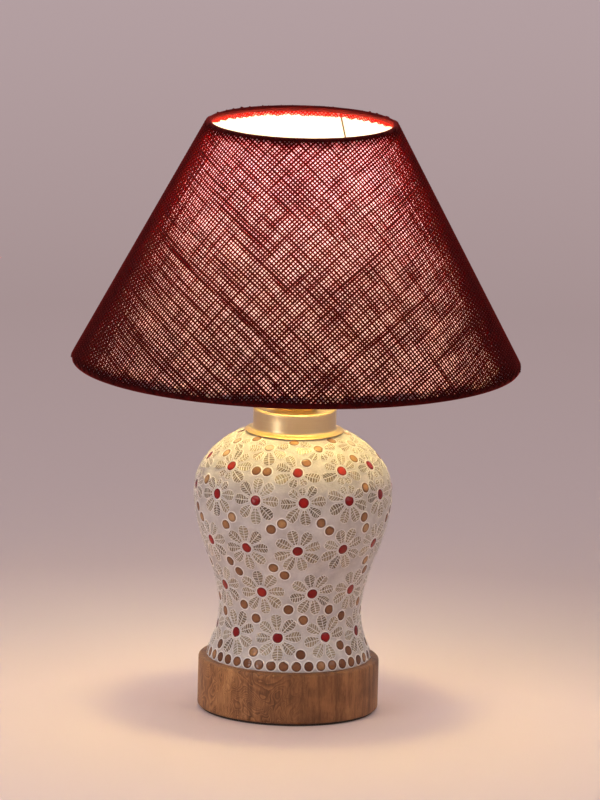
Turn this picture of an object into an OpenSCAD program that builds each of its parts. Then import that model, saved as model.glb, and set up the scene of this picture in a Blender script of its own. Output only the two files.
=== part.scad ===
// Mosaic glass table lamp: wooden plinth, blown glass vase covered in
// grouted glass tiles, brass cap, E27 lampholder, bulb and a coolie shade.
// Millimetres, +Z up, origin at the centre of the foot, front towards -Y.

/* [Base] */
// Diameter of the turned wooden plinth
base_d = 122; // [118:1:134]
// Height of the plinth with its felt
base_h = 36; // [32:1:44]
// Thickness of the felt under the plinth
felt_t = 1.5; // [1:0.5:3]
// Bore of the cord bush in the back of the plinth
cord_bore_d = 7.2; // [6:0.1:7.6]

/* [Body] */
// Height of the mosaic body above the plinth
body_h = 157; // [150:1:170]
// Widest diameter of the body
belly_d = 133.4; // [130:0.2:140]
// Thickness of the grout that the tiles are bedded in
grout_t = 2; // [1.8:0.1:3]
// Thickness of the blown glass
glass_t = 3; // [2.5:0.5:4]

/* [Tiles] */
// Diameter of the red flower centres
red_d = 7.3; // [6.8:0.1:7.6]
// Diameter of the amber discs between the flowers
amber_d = 6.9; // [6:0.1:7.2]
// Number of amber discs round the foot
border_n = 40; // [36:1:42]
// How far the tiles stand out of the grout
tile_proud = 0.3; // [0.2:0.05:0.5]
// Length that a petal may have, from the flower's centre to its tip
petal_reach = 16.5; // [12:0.5:16.5]

/* [Cap and lampholder] */
// Diameter of the brass cap's flange
cap_flange_d = 67; // [64:1:72]
// Diameter of the brass cap's drum
cap_drum_d = 56; // [54:1:60]
// Height of the brass cap
cap_h = 15.5; // [13:0.5:18]
// Outer diameter of the lampholder's threaded shell
holder_d = 40; // [39.6:0.1:40.2]

/* [Shade] */
// Outer diameter of the shade at the top
shade_top_d = 127; // [110:1:150]
// Outer diameter of the shade at the bottom
shade_bottom_d = 305; // [260:1:330]
// Height of the shade
shade_h = 167; // [150:0.5:190]
// Thickness of the jute cloth
cloth_t = 0.9; // [0.7:0.1:1.2]
// Thickness of the translucent liner
liner_t = 0.4; // [0.3:0.1:0.6]
// Diameter of the shade's wire rings
wire_d = 3; // [2.6:0.2:3.4]
// Width of the hem that is folded round the rings
hem_w = 8; // [6:0.5:12]

/* [Bulb] */
// Diameter of the bulb
bulb_d = 60; // [55:1:64]

/* [Hidden] */
$fn = 64;

base_r = base_d / 2;
tube_r = 5;                    // M10 x 1 all-thread tube
tube_bore = 4;
thread_gap = 0.05;             // radial gap left for each thread
recess_r = 32;                 // pocket under the plinth for the nut
recess_top = felt_t + 12.5;
cord_z = felt_t + 6.5;         // height of the cord hole

// Outer profile of the body, [radius / belly radius, height / body height].
profile_rel = [
  [.8280, 0], [.8190, .0250], [.7970, .0560], [.7640, .0900], [.7370, .1260],
  [.7215, .1650], [.7170, .2020], [.7210, .2380], [.7330, .2780], [.7540, .3240],
  [.7830, .3690], [.8190, .4140], [.8580, .4590], [.8980, .5030], [.9330, .5480],
  [.9620, .5920], [.9850, .6370], [.9970, .6820], [1.000, .7200], [.9930, .7620],
  [.9700, .7980], [.9320, .8330], [.8800, .8660], [.8150, .8980], [.7400, .9270],
  [.6550, .9530], [.5710, .9720], [.5030, .9830], [.4400, .9890]];
P = [for (p = profile_rel) [p[0] * belly_d / 2, base_h + p[1] * body_h]];
NP = len(P);

// Arc length along the profile, and lookups along it.
seg = [for (i = [1:NP - 1]) norm(P[i] - P[i - 1])];
cum = [for (i = 0, t = 0; i < NP; t = t + (i < NP - 1 ? seg[i] : 0), i = i + 1) t];
sR = [for (i = [0:NP - 1]) [cum[i], P[i][0]]];
sZ = [for (i = [0:NP - 1]) [cum[i], P[i][1]]];
zS = [for (i = [0:NP - 1]) [P[i][1], cum[i]]];
function s_at(z) = lookup(z, zS);
function r_of(s) = lookup(s, sR);
function z_of(s) = lookup(s, sZ);
// How far the outward normal rises above the horizontal.
function lean(s) = let (a = max(s - 1.5, 0), b = min(s + 1.5, cum[NP - 1]))
  atan2(r_of(a) - r_of(b), z_of(b) - z_of(a));

// The profile moved inwards by d along its normals.
function edge_normal(i) = let (v = P[min(i + 1, NP - 1)] - P[max(i - 1, 0)]) [v[1], -v[0]] / norm(v);
function inset(d) = [for (i = [0:NP - 1]) P[i] - d * edge_normal(i)];
// Points of a profile between two heights, with ends cut level.
function level_cut(Q, lo) = concat([[Q[0][0], lo]], [for (q = Q) if (q[1] > lo + 0.6) q]);

cap_z = base_h + body_h - 1.2;           // underside of the cap's flange
cap_top = cap_z + cap_h;
holder_r = holder_d / 2;

// ---- rows of tiles: [height above the plinth, [azimuths]], azimuth 0 at the front ----
kz = body_h / 157;
row_top = [150.5, [23, 66, 112, 158, 201, 248, 295, 337]];
row_a = [137.7, [3, 34.5, 63.5, 94, 124.5, 155, 186, 216.5, 247, 277.5, 313.5]];
row_b = [119, [6.5, 35, 62.5, 90, 117, 144, 172, 199, 226, 254, 281, 310, 338]];
row_c = [85, [4, 34, 62.5, 92, 121.5, 151, 181, 210.5, 240, 270, 299.5, 331]];
row_d = [53.3, [17, 52.5, 88, 123.5, 159, 194.5, 230, 265, 300.5, 338]];
row_e = [22.2, [30, 67.5, 102.5, 137.5, 172.5, 207, 242, 277, 313, 351]];

// Amber pairs: [height, azimuths, distance apart, slope of the pair].
pairs_bc = [102.3, [20, 48, 78, 108.5, 138.5, 169, 199, 229.5, 259.5, 290, 320, 351], 8.6,
  [-42, -70, 30, -40, 48, -60, 35, -35, 50, -45, 48, 30]];
pairs_cd = [69.5, [62, 98, 134, 170, 206, 242, 280, 318, 352], 9.2,
  [-60, 40, -42, 44, -48, 38, -45, -49, -36]];
pairs_de = [38.3, [5, 39.5, 75, 111, 147, 183, 219, 255, 290, 326.5], 12.6,
  [-36, -27, -40, -32, -38, -30, -35, -33, -42, -42]];
singles = [
  [11.7, [9, 84, 120, 156, 192, 228, 262, 297, 333]],
  [16, [43]],
  [11.4, [50.5]],
  [137.4, [334.5, 342.2]],
  [143.4, [9.5, 51, 110, 172, 235, 299]],
  [125.8, [49, 103.5, 158, 240, 296]],
  [153.6, [0, 45, 90, 135, 180, 225, 270, 315]]];

rad = 180 / PI;
// A site is [azimuth, arc length, radius of its disc].
function sites(row, r) = [for (a = row[1]) [a, s_at(base_h + row[0] * kz), r]];
function pair_sites(p) = [for (i = [0:len(p[1]) - 1], e = [-0.5, 0.5])
  let (s0 = s_at(base_h + p[0] * kz), R0 = r_of(s0), c = cos(p[3][i]), d = sin(p[3][i]))
  [p[1][i] + e * p[2] * c / R0 * rad, s0 + e * p[2] * d, amber_d / 2]];
flowers_shoulder = concat(sites(row_top, amber_d / 2), sites(row_a, red_d / 2));
flowers_belly = concat(sites(row_b, red_d / 2), sites(row_c, red_d / 2));
flowers_waist = concat(sites(row_d, red_d / 2), sites(row_e, red_d / 2));
reds = concat(sites(row_a, red_d / 2), flowers_belly, flowers_waist);
ambers = concat(sites(row_top, amber_d / 2), pair_sites(pairs_bc), pair_sites(pairs_cd),
  pair_sites(pairs_de), [for (s = singles) each sites(s, amber_d / 2)]);
loose = [for (i = [len(row_top[1]):len(ambers) - 1]) ambers[i]];
flowers = concat(flowers_shoulder, flowers_belly, flowers_waist);
s_border = s_at(base_h + 4 * kz);
border = [for (i = [0:border_n - 1]) [5.7 + i * 360 / border_n, s_border, 3.45]];

function turn(a) = a - 360 * round(a / 360);
// Where site k lies in the tangent plane of site i: [east, up].
function offset_of(i, k) = let (m = (r_of(i[1]) + r_of(k[1])) / 2)
  [turn(k[0] - i[0]) / rad * m, k[1] - i[1]];
function near(i, list) = [for (k = list) let (o = offset_of(i, k)) if (norm(o) > 0.5 && norm(o) < 36) [o[0], o[1], k[2]]];
function hash(i, k) = let (v = sin(i * 127.1 + k * 311.7) * 437.585) v - floor(v);

petal_in = 5.1;                 // where a petal starts, from the flower's centre
function half_w(L) = 1.3 + 0.22 * L;
// Outline of a petal of length L along +x, from its narrow end.
function leaf(L) = let (w = half_w(L)) [
  [0, -0.22 * w], [0.25 * L, -0.64 * w], [0.56 * L, -w], [0.84 * L, -0.76 * w], [L, -0.26 * w],
  [L, 0.26 * w], [0.84 * L, 0.76 * w], [0.56 * L, w], [0.25 * L, 0.64 * w], [0, 0.22 * w]];
function turned(p, a) = [p[0] * cos(a) - p[1] * sin(a), p[0] * sin(a) + p[1] * cos(a)];
function seg_dist(p, a, b) = let (d = b - a, t = max(0, min(1, ((p - a) * d) / (d * d)))) norm(p - a - t * d);
// Does a petal reaching t at angle f keep clear of the other flowers and of the loose discs?
function fits(t, f, fl, dl) = let (pts = [for (p = leaf(t - petal_in)) turned(p + [petal_in, 0], f)])
  len([for (k = fl, p = pts) let (d = [k[0], k[1]]) if (p * d / norm(d) > norm(d) / 2 - 0.4) 1]) == 0
  && len([for (k = dl, e = [0:9]) if (seg_dist([k[0], k[1]], pts[e], pts[(e + 1) % 10]) < k[2] + 0.5) 1]) == 0;
function reach(f, fl, dl, t) = t < 8.9 ? 0 : fits(t, f, fl, dl) ? t : reach(f, fl, dl, t - 0.6);
// Petals of one flower, each [angle, reach].
function petals(i, c, list_f, list_d, border_list) = let (
    n = 8,
    fl = near(i, list_f), dl = concat(near(i, list_d), near(i, border_list)))
  [for (j = [0:n - 1]) let (f = 360 / n * j + 30 * hash(c, 1) + 4 * (hash(c, j + 3) - 0.5),
     t = reach(f, fl, dl, petal_reach - 1.2 * hash(c, j + 20))) if (t > 0) [f, t]];

// ---- placing on the body's surface ----
module on_body(azimuth, s) {
  rotate([0, 0, azimuth - 90]) translate([r_of(s), 0, z_of(s)]) rotate([0, 90 - lean(s), 0]) children();
}
module disc_tile(site, r) {
  on_body(site[0], site[1]) translate([0, 0, -1.3]) cylinder(r = r, h = 1.3 + tile_proud);
}
module petal_tile(i, f, t) {
  tc = (petal_in + t) / 2;
  s = i[1] + tc * sin(f);
  m = (r_of(i[1]) + r_of(s)) / 2;
  da = tc * cos(f) / m * rad;
  if (s > 3 && s < cum[NP - 1] - 3)
    on_body(i[0] + da, s) rotate([0, 0, f + 90 - da * sin(lean(s))])
      translate([-(t - petal_in) / 2, 0, -1.25]) linear_extrude(1.25 + tile_proud) polygon(leaf(t - petal_in));
}
module petal_group(list, c0) {
  for (i = [0:len(list) - 1])
    for (p = petals(list[i], c0 + i, flowers, loose, border)) petal_tile(list[i], p[0], p[1]);
}

// ---- plinth ----
module base_felt() {
  color("#3a2f28") cylinder(r = base_r - 2.5, h = felt_t);
}
module wood_base() {
  color("#8a5f3f") difference() {
    rotate_extrude() polygon([
      [0, felt_t], [base_r - 1.2, felt_t], [base_r - 0.4, felt_t + 0.4], [base_r, felt_t + 1.2],
      [base_r, base_h - 1.4], [base_r - 0.4, base_h - 0.4], [base_r - 1.4, base_h], [0, base_h]]);
    translate([0, 0, felt_t - 1]) cylinder(r = recess_r, h = recess_top - felt_t + 1);
    cylinder(r = tube_r + 0.3, h = base_h + 1);
    translate([0, recess_r - 4, cord_z]) rotate([-90, 0, 0]) cylinder(r = cord_bore_d / 2 + 1.4, h = base_r);
  }
}
module cord_bush() {
  color("#1d1b1a") translate([0, base_r - 13, cord_z]) rotate([-90, 0, 0]) difference() {
    union() {
      cylinder(r = cord_bore_d / 2 + 1.35, h = 13.5);
      translate([0, 0, 13.05]) cylinder(r = cord_bore_d / 2 + 2.8, h = 1.4);
    }
    translate([0, 0, -1]) cylinder(r = cord_bore_d / 2, h = 20);
  }
}
module base_washer() {
  color("silver") translate([0, 0, recess_top - 1.6]) difference() {
    cylinder(r = 15, h = 1.6);
    translate([0, 0, -1]) cylinder(r = tube_r + 0.25, h = 4);
  }
}
module base_nut() {
  color("silver") translate([0, 0, recess_top - 6.1]) difference() {
    cylinder(r = 9.8, h = 4.5, $fn = 6);
    translate([0, 0, -1]) cylinder(r = tube_r + thread_gap, h = 8);
  }
}
module threaded_tube() {
  color("#b9b4a8") translate([0, 0, recess_top - 8.5]) difference() {
    cylinder(r = tube_r, h = cap_top + 7 - recess_top + 8.5);
    translate([0, 0, -1]) cylinder(r = tube_bore, h = 400);
  }
}

// ---- body ----
neck_r = 25.5;                   // neck of the vase, inside the cap
neck_top = cap_z + 8;
module glass_vase() {
  o = level_cut(inset(grout_t + 0.02), base_h);
  i = level_cut(inset(grout_t + glass_t), base_h + 4);
  top = [for (q = o) if (q[0] > neck_r + 1) q];
  low = [for (q = i) if (q[0] > neck_r - 2) q];
  color("#cfd6cf", 0.5) rotate_extrude() polygon(concat(
    [[tube_r + 0.8, base_h]], top,
    [[neck_r, top[len(top) - 1][1] + 0.4], [neck_r, neck_top], [neck_r - 3, neck_top],
     [neck_r - 3, low[len(low) - 1][1]]],
    [for (k = [len(low) - 1:-1:0]) low[k]], [[tube_r + 0.8, base_h + 4]]));
}
module grout_layer() {
  i = level_cut(inset(grout_t), base_h);
  // the layer ends under the cap's flange, clear of the vase's neck
  o_top = [for (q = P) if (q[0] > neck_r + 3.4) q];
  i_top = [for (q = i) if (q[0] > neck_r + 3.4) q];
  color("#efece6") rotate_extrude() polygon(concat(o_top, [for (k = [len(i_top) - 1:-1:0]) i_top[k]]));
}
module red_disc_tiles() {
  color("#a31518") for (s = reds) disc_tile(s, red_d / 2);
}
module amber_disc_tiles() {
  color("#9a6538") for (s = ambers) disc_tile(s, amber_d / 2);
}
module border_disc_tiles() {
  color("#7d4d2a") for (s = border) disc_tile(s, s[2]);
}
module petal_tiles_shoulder() { color("#b9ae98") petal_group(flowers_shoulder, 0); }
module petal_tiles_belly() { color("#b9ae98") petal_group(flowers_belly, 40); }
module petal_tiles_waist() { color("#b9ae98") petal_group(flowers_waist, 80); }

// ---- brass cap ----
module brass_cap() {
  fr = cap_flange_d / 2; dr = cap_drum_d / 2; z = cap_z; t = cap_top; w = 0.8;
  color("#c9a050") rotate_extrude() polygon([
    [tube_r + 0.25, t - w - 0.4], [dr - 2.2, t - w - 0.4], [dr - 1.2, t - 1.6], [dr - w, t - 2.6],
    [dr - w, z + 1.6], [dr + 0.3, z + 0.55], [dr + 1.6, z + 0.1], [fr - 0.5, z - 0.5], [fr, z - 0.1],
    [fr - 0.3, z + 0.5], [dr + 1.4, z + 0.95], [dr + 0.4, z + 1.5], [dr, z + 2.4],
    [dr, t - 2.6], [dr + 0.25, t - 2.0], [dr + 0.1, t - 1.0], [dr - 0.6, t - 0.3], [dr - 1.7, t],
    [dr - 3, t - 0.25], [16, t - 0.4], [tube_r + 0.25, t - 0.4]]);
}

// ---- lampholder ----
hz = cap_top - 0.4;                       // the holder stands on the cap's flat top
h_join = hz + 18.5;                       // cap meets shell
h_flange = hz + 28.5;                       // underside of the shell's shade flange
h_top = hz + 54;
module holder_cap() {
  color("#b8903f") rotate_extrude() polygon([
    [tube_r + thread_gap, hz], [14, hz], [14.2, hz + 3], [16.5, hz + 6.5], [19.4, hz + 9.5], [holder_r + 0.8, hz + 13],
    [holder_r + 0.8, h_join], [holder_r - 0.4, h_join], [holder_r - 0.4, hz + 13.6], [18.4, hz + 10.6],
    [15.6, hz + 7.6], [8.5, hz + 6.6], [8.5, hz + 10], [tube_r + thread_gap, hz + 10]]);
}
module holder_shell() {
  color("#b8903f") rotate_extrude() polygon([
    [holder_r - 1, h_join + 0.02], [holder_r + 0.5, h_join + 0.02], [holder_r + 0.5, h_join + 3], [holder_r, h_join + 3.6],
    [holder_r, h_flange], [holder_r + 3, h_flange], [holder_r + 3, h_flange + 1.4], [holder_r, h_flange + 1.4],
    [holder_r, h_top - 1], [holder_r - 0.5, h_top], [holder_r - 3.4, h_top], [holder_r - 3.4, h_top - 0.8], [holder_r - 1, h_top - 0.8]]);
}
module holder_insert() {
  b = h_join - 2;
  color("#f0eee8") difference() {
    union() {
      translate([0, 0, b + 2.1]) cylinder(r = holder_r - 1.2, h = 29);
      translate([0, 0, b]) cylinder(r = holder_r - 1.2, h = 2.2);
    }
    translate([0, 0, b + 8]) cylinder(r = 14.1, h = 40);
    translate([0, 0, b - 1]) cylinder(r = 2, h = 20);
    for (a = [0, 180]) rotate([0, 0, a]) translate([10, 0, b - 1]) cylinder(r = 1.7, h = 12);
  }
}
module holder_screw_shell() {
  color("#c79d4b") translate([0, 0, h_join + 6.1]) difference() {
    cylinder(r = 14.05, h = 23);
    translate([0, 0, 0.6]) cylinder(r = 13.6, h = 30);
    translate([0, 0, -1]) cylinder(r = 7, h = 3);
  }
}
module holder_centre_contact() {
  color("#c07a3c") union() {
    translate([0, 0, h_join - 3]) cylinder(r = 1.9, h = 9.6);
    translate([0, 0, h_join + 6.4]) cylinder(r = 4, h = 0.8);
  }
}
module terminal_screws() {
  color("silver") for (a = [0, 180]) rotate([0, 0, a]) translate([10, 0, h_join - 4.3]) difference() {
    union() {
      cylinder(r = 2.8, h = 2.2);
      translate([0, 0, 2]) cylinder(r = 1.6, h = 7);
    }
    translate([-3, -0.4, -0.1]) cube([6, 0.8, 0.9]);
  }
}

// ---- shade ----
rt = shade_top_d / 2;
rb = shade_bottom_d / 2;
shade_z0 = h_flange + 1.6;                  // bottom edge of the shade
shade_z1 = shade_z0 + shade_h;
alpha = atan2(rb - rt, shade_h);
S = norm([rb - rt, shade_h]);
// A point s along the slope from the top edge and h out from the cloth's face.
function cone_pt(s, h) = [rt + s * sin(alpha) + h * cos(alpha), shade_z1 - s * cos(alpha) + h * sin(alpha)];
wr = wire_d / 2;
wrap = wr + 0.05 + cloth_t / 2;             // the cloth's middle, from the wire's middle
wire_h = -cloth_t / 2 - wrap;               // the wire's middle, inside the face
wire_s = wrap + cloth_t / 2;
hem_h = -cloth_t - 0.05 - liner_t - 0.05 - cloth_t / 2;
// Middle line of the cloth: inner hem at the top, round the wire, down the cone, round the lower wire, inner hem.
cloth_mid = concat(
  [[wire_s + wrap + hem_w, hem_h], [wire_s + wrap + 1.2, hem_h]],
  [for (k = [0:10]) let (f = 250 - 25 * k) [wire_s - wrap * sin(f), wire_h + wrap * cos(f)]],
  [for (k = [0:10]) let (f = 250 * k / 10) [S - wire_s + wrap * sin(f), wire_h + wrap * cos(f)]],
  [[S - wire_s - wrap - 1.2, hem_h], [S - wire_s - wrap - hem_w, hem_h]]);
function side(L, d) = [for (i = [0:len(L) - 1])
  let (a = L[max(i - 1, 0)], b = L[i], c = L[min(i + 1, len(L) - 1)],
       u = i > 0 ? (b - a) / norm(b - a) : (c - b) / norm(c - b),
       v = i < len(L) - 1 ? (c - b) / norm(c - b) : u,
       n = [-(u[1] + v[1]), u[0] + v[0]] / norm(u + v), k = n * [-u[1], u[0]])
  b + n * d / k];
function stroke(L, w) = concat(side(L, w / 2), [for (p = side(L, -w / 2)) p]);
cloth_edge = let (a = side(cloth_mid, cloth_t / 2), b = side(cloth_mid, -cloth_t / 2))
  concat(a, [for (i = [len(b) - 1:-1:0]) b[i]]);
arm_az = [30, 150, 270];
wire_top = cone_pt(wire_s, wire_h);
wire_bottom = cone_pt(S - wire_s, wire_h);
hub_z = h_flange + 1.4 + 0.3;               // the hub rests just above the holder's flange

module shade_fabric() {
  color("#7a0f14") difference() {
    rotate_extrude() polygon([for (p = cloth_edge) cone_pt(p[0], p[1])]);
    // slits in the lower hem where the fitter's arms come through
    for (a = arm_az) rotate([0, 0, a]) translate([wire_bottom[0] - 16, -2.4, wire_bottom[1] - 2.6])
      cube([15.4, 4.8, 5.4]);
  }
}
module shade_liner() {
  a = wire_s + wr + 0.3; b = S - a; h0 = -cloth_t - 0.05; h1 = h0 - liner_t;
  color("#f6efe2") rotate_extrude() polygon([cone_pt(a, h0), cone_pt(b, h0), cone_pt(b, h1), cone_pt(a, h1)]);
}
module wire_ring(c) {
  rotate_extrude() translate(c) circle(r = wr, $fn = 32);
}
module shade_top_ring() { color("#d9d6cf") wire_ring(wire_top); }
module shade_bottom_ring() { color("#d9d6cf") wire_ring(wire_bottom); }
// Arms run straight from the hub's edge up to the bottom wire.
module fitter_arms() {
  p = [24.6, hub_z + 1.2]; q = wire_bottom;
  color("#d9d6cf") for (a = arm_az) rotate([0, 0, a]) translate([p[0], 0, p[1]])
    rotate([0, 90 - atan2(q[1] - p[1], q[0] - p[0]), 0]) cylinder(r = wr - 0.3, h = norm(q - p) - 0.5, $fn = 32);
}
module fitter_hub() {
  color("#d9d6cf") translate([0, 0, hub_z]) difference() {
    cylinder(r = 26, h = 2.4);
    translate([0, 0, -1]) cylinder(r = holder_r + 0.35, h = 5);
  }
}
// Fibre washer between the hub and the ring nut that clamps it.
module ring_washer() {
  color("#5b3b2a") translate([0, 0, hub_z + 2.7]) difference() {
    cylinder(r = 25, h = 0.8);
    translate([0, 0, -1]) cylinder(r = holder_r + 0.4, h = 4);
  }
}
module shade_ring_nut() {
  color("#b8903f") translate([0, 0, hub_z + 3.8]) difference() {
    union() {
      cylinder(r = 24, h = 1.6);
      translate([0, 0, 1.5]) cylinder(r = 22.6, h = 5);
      for (a = [0:20:340]) rotate([0, 0, a]) translate([21.8, -1, 1.2]) cube([1.7, 2, 4.6]);
    }
    translate([0, 0, -1]) cylinder(r = holder_r + 0.08, h = 10);
  }
}

// ---- bulb ----
bz = h_join + 7.6;                          // tip of the bulb's contact
module bulb_contact() {
  color("#c9c4b6") translate([0, 0, bz]) cylinder(r = 4.6, h = 1.2);
}
module bulb_insulator() {
  color("#1c1c1e") translate([0, 0, bz + 1.22]) rotate_extrude() polygon([[0, 0], [5.6, 0], [12.2, 2.6], [12.2, 3.2], [0, 3.2]]);
}
module bulb_screw_cap() {
  z = bz + 4.45;
  color("#cfcabd") rotate_extrude() polygon([
    [11, z], [12.6, z], [13.15, z + 1.5], [13.15, z + 19], [13.25, z + 21], [12.75, z + 21], [12.65, z + 19], [12.65, z + 2], [11, z + 0.6]]);
}
env_r = bulb_d / 2;
env_c = bz + 104 - env_r;                   // centre of the globe
// Half section of the bulb's glass: a neck that swells into the globe.
function env(d) = concat(
  [[12.4 - d, bz + 12], [12.4 - d, bz + 24.6], [13.6 - d, bz + 28], [15.4 - d, bz + 34], [18.6 - d, bz + 42], [22.6 - d, bz + 51]],
  [for (f = [-38:8:82]) [(env_r - d) * cos(f), env_c + (env_r - d) * sin(f)]], [[0, env_c + env_r - d]]);
module bulb_envelope() {
  color("#fff3dc", 0.9) rotate_extrude() polygon(concat(env(0), [for (i = [len(env(1)) - 1:-1:0]) env(1)[i]]));
}
module bulb_stem() {
  color("#e8efe9", 0.5) rotate_extrude() polygon([
    [0, bz + 12.2], [11.35, bz + 12.2], [8, bz + 16], [4.6, bz + 22], [3.4, bz + 30], [3.0, bz + 44], [1.6, bz + 47], [0, bz + 47.5]]);
}
// Four upright glowing filaments and the ring that carries their lower ends.
module bulb_filament() {
  color("#ffdd99") {
    translate([0, 0, bz + 47.6]) cylinder(r = 8.5, h = 1);
    for (a = [45:90:315]) rotate([0, 0, a]) translate([7, 0, bz + 48.4]) cylinder(r = 0.9, h = 30, $fn = 16);
  }
}

base_felt();
wood_base();
cord_bush();
base_washer();
base_nut();
threaded_tube();
glass_vase();
grout_layer();
red_disc_tiles();
amber_disc_tiles();
border_disc_tiles();
petal_tiles_shoulder();
petal_tiles_belly();
petal_tiles_waist();
brass_cap();
holder_cap();
holder_shell();
holder_insert();
holder_screw_shell();
holder_centre_contact();
terminal_screws();
shade_fabric();
shade_liner();
shade_top_ring();
shade_bottom_ring();
fitter_arms();
fitter_hub();
ring_washer();
shade_ring_nut();
bulb_contact();
bulb_insulator();
bulb_screw_cap();
bulb_envelope();
bulb_stem();
bulb_filament();
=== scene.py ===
import math
import bpy
import numpy as np
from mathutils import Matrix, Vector


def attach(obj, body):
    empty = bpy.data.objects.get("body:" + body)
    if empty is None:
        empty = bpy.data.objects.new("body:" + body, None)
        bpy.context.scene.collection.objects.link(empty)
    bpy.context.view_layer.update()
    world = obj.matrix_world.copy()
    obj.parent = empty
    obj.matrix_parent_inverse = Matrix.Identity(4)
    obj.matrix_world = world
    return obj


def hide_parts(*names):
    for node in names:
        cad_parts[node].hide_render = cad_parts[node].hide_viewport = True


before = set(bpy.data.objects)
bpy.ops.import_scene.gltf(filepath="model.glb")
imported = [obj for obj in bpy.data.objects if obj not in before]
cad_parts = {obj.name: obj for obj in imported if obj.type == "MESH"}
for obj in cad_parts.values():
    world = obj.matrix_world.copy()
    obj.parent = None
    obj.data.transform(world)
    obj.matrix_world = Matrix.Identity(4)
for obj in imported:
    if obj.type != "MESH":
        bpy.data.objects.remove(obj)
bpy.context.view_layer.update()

MM = 0.001
RAD = 180 / math.pi
rng = np.random.default_rng(7)

# ------------------------------------------------------------------ mesh helpers
def make(name, verts, faces, mats=(), smooth=True, sharp=None, attrs=None, mat_index=None):
    me = bpy.data.meshes.new(name)
    v = np.asarray(verts, dtype=np.float64) * MM
    me.from_pydata(v.tolist(), [], [list(map(int, f)) for f in faces])
    me.update()
    for m in mats:
        me.materials.append(m)
    if mat_index is not None:
        me.polygons.foreach_set("material_index", np.asarray(mat_index, dtype=np.int32))
    for key, vals in (attrs or {}).items():
        a = me.attributes.new(key, "FLOAT", "POINT")
        a.data.foreach_set("value", np.asarray(vals, dtype=np.float32))
    me.validate()
    if smooth:
        me.shade_smooth()
        if sharp is not None:
            me.set_sharp_from_angle(angle=math.radians(sharp))
    else:
        me.shade_flat()
    ob = bpy.data.objects.new(name, me)
    bpy.context.scene.collection.objects.link(ob)
    return ob


def revolve(name, prof, n, mats, closed=True, wob=None, sharp=35):
    """Lathe a list of (r, z) in mm about Z. wob(az_rad, i) adds mm along r."""
    P = np.asarray(prof, float)
    m = len(P)
    th = np.arange(n) * 2 * math.pi / n
    V = np.zeros((n, m, 3))
    for i in range(n):
        r = P[:, 0].copy()
        if wob is not None:
            r = r + np.array([wob(th[i], k) for k in range(m)])
        V[i, :, 0] = r * math.cos(th[i])
        V[i, :, 1] = r * math.sin(th[i])
        V[i, :, 2] = P[:, 1]
    F = []
    last = m if closed else m - 1
    for i in range(n):
        j = (i + 1) % n
        for k in range(last):
            l = (k + 1) % m
            F.append((i * m + k, j * m + k, j * m + l, i * m + l))
    return make(name, V.reshape(-1, 3), F, mats, sharp=sharp)


# ------------------------------------------------------------------ material helpers
def shader(name, **socks):
    m = bpy.data.materials.new(name)
    m.use_nodes = True
    nt = m.node_tree
    nt.nodes.clear()
    out = nt.nodes.new("ShaderNodeOutputMaterial")
    b = nt.nodes.new("ShaderNodeBsdfPrincipled")
    nt.links.new(b.outputs["BSDF"], out.inputs["Surface"])
    for k, v in socks.items():
        b.inputs[k.replace("_", " ")].default_value = v
    return m, nt, b, out


def node(nt, kind, props=None, **ins):
    n = nt.nodes.new("ShaderNode" + kind)
    for k, v in (props or {}).items():
        setattr(n, k, v)
    for k, v in ins.items():
        key = k.replace("_", " ")
        if isinstance(v, bpy.types.NodeSocket):
            nt.links.new(v, n.inputs[key])
        else:
            n.inputs[key].default_value = v
    return n


def coords(nt, scale=(1, 1, 1), loc=(0, 0, 0), rot=(0, 0, 0)):
    tc = nt.nodes.new("ShaderNodeTexCoord")
    mp = nt.nodes.new("ShaderNodeMapping")
    mp.inputs["Scale"].default_value = scale
    mp.inputs["Location"].default_value = loc
    mp.inputs["Rotation"].default_value = rot
    nt.links.new(tc.outputs["Object"], mp.inputs["Vector"])
    return mp.outputs["Vector"]


def noise(nt, vec, scale, detail=3, rough=0.5, dist=0.0):
    n = node(nt, "TexNoise", Scale=scale, Detail=detail, Roughness=rough, Distortion=dist)
    nt.links.new(vec, n.inputs["Vector"])
    return n.outputs["Fac"]


def ramp(nt, fac, stops, interp="LINEAR"):
    r = nt.nodes.new("ShaderNodeValToRGB")
    r.color_ramp.interpolation = interp
    e = r.color_ramp.elements
    while len(e) < len(stops):
        e.new(0.5)
    for k, (p, c) in enumerate(stops):
        e[k].position = p
        e[k].color = (*c, 1) if len(c) == 3 else c
    nt.links.new(fac, r.inputs["Fac"])
    return r.outputs["Color"]


def grey(a):
    return (a, a, a)


def bump(nt, b, height, strength=0.3, dist=0.0004):
    n = node(nt, "Bump", Strength=strength, Distance=dist)
    nt.links.new(height, n.inputs["Height"])
    nt.links.new(n.outputs["Normal"], b.inputs["Normal"])
    return n


def simple(name, stops, scale=80, rough=(0.3, 0.5), metallic=0.0, bump_scale=400, bump_s=0.15, stretch=(1, 1, 1), **socks):
    """Two tone noise colour, noise roughness and a fine bump."""
    m, nt, b, out = shader(name, Metallic=metallic, **socks)
    v = coords(nt, stretch)
    f = noise(nt, v, scale, 5, 0.6)
    nt.links.new(ramp(nt, f, stops), b.inputs["Base Color"])
    f2 = noise(nt, v, scale * 2.3, 4, 0.6)
    nt.links.new(ramp(nt, f2, [(0.3, grey(rough[0])), (0.7, grey(rough[1]))]), b.inputs["Roughness"])
    bump(nt, b, noise(nt, v, bump_scale, 3, 0.6), bump_s, 0.0002)
    return m


def attr(nt, name):
    a = nt.nodes.new("ShaderNodeAttribute")
    a.attribute_name = name
    return a.outputs["Fac"]


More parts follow.
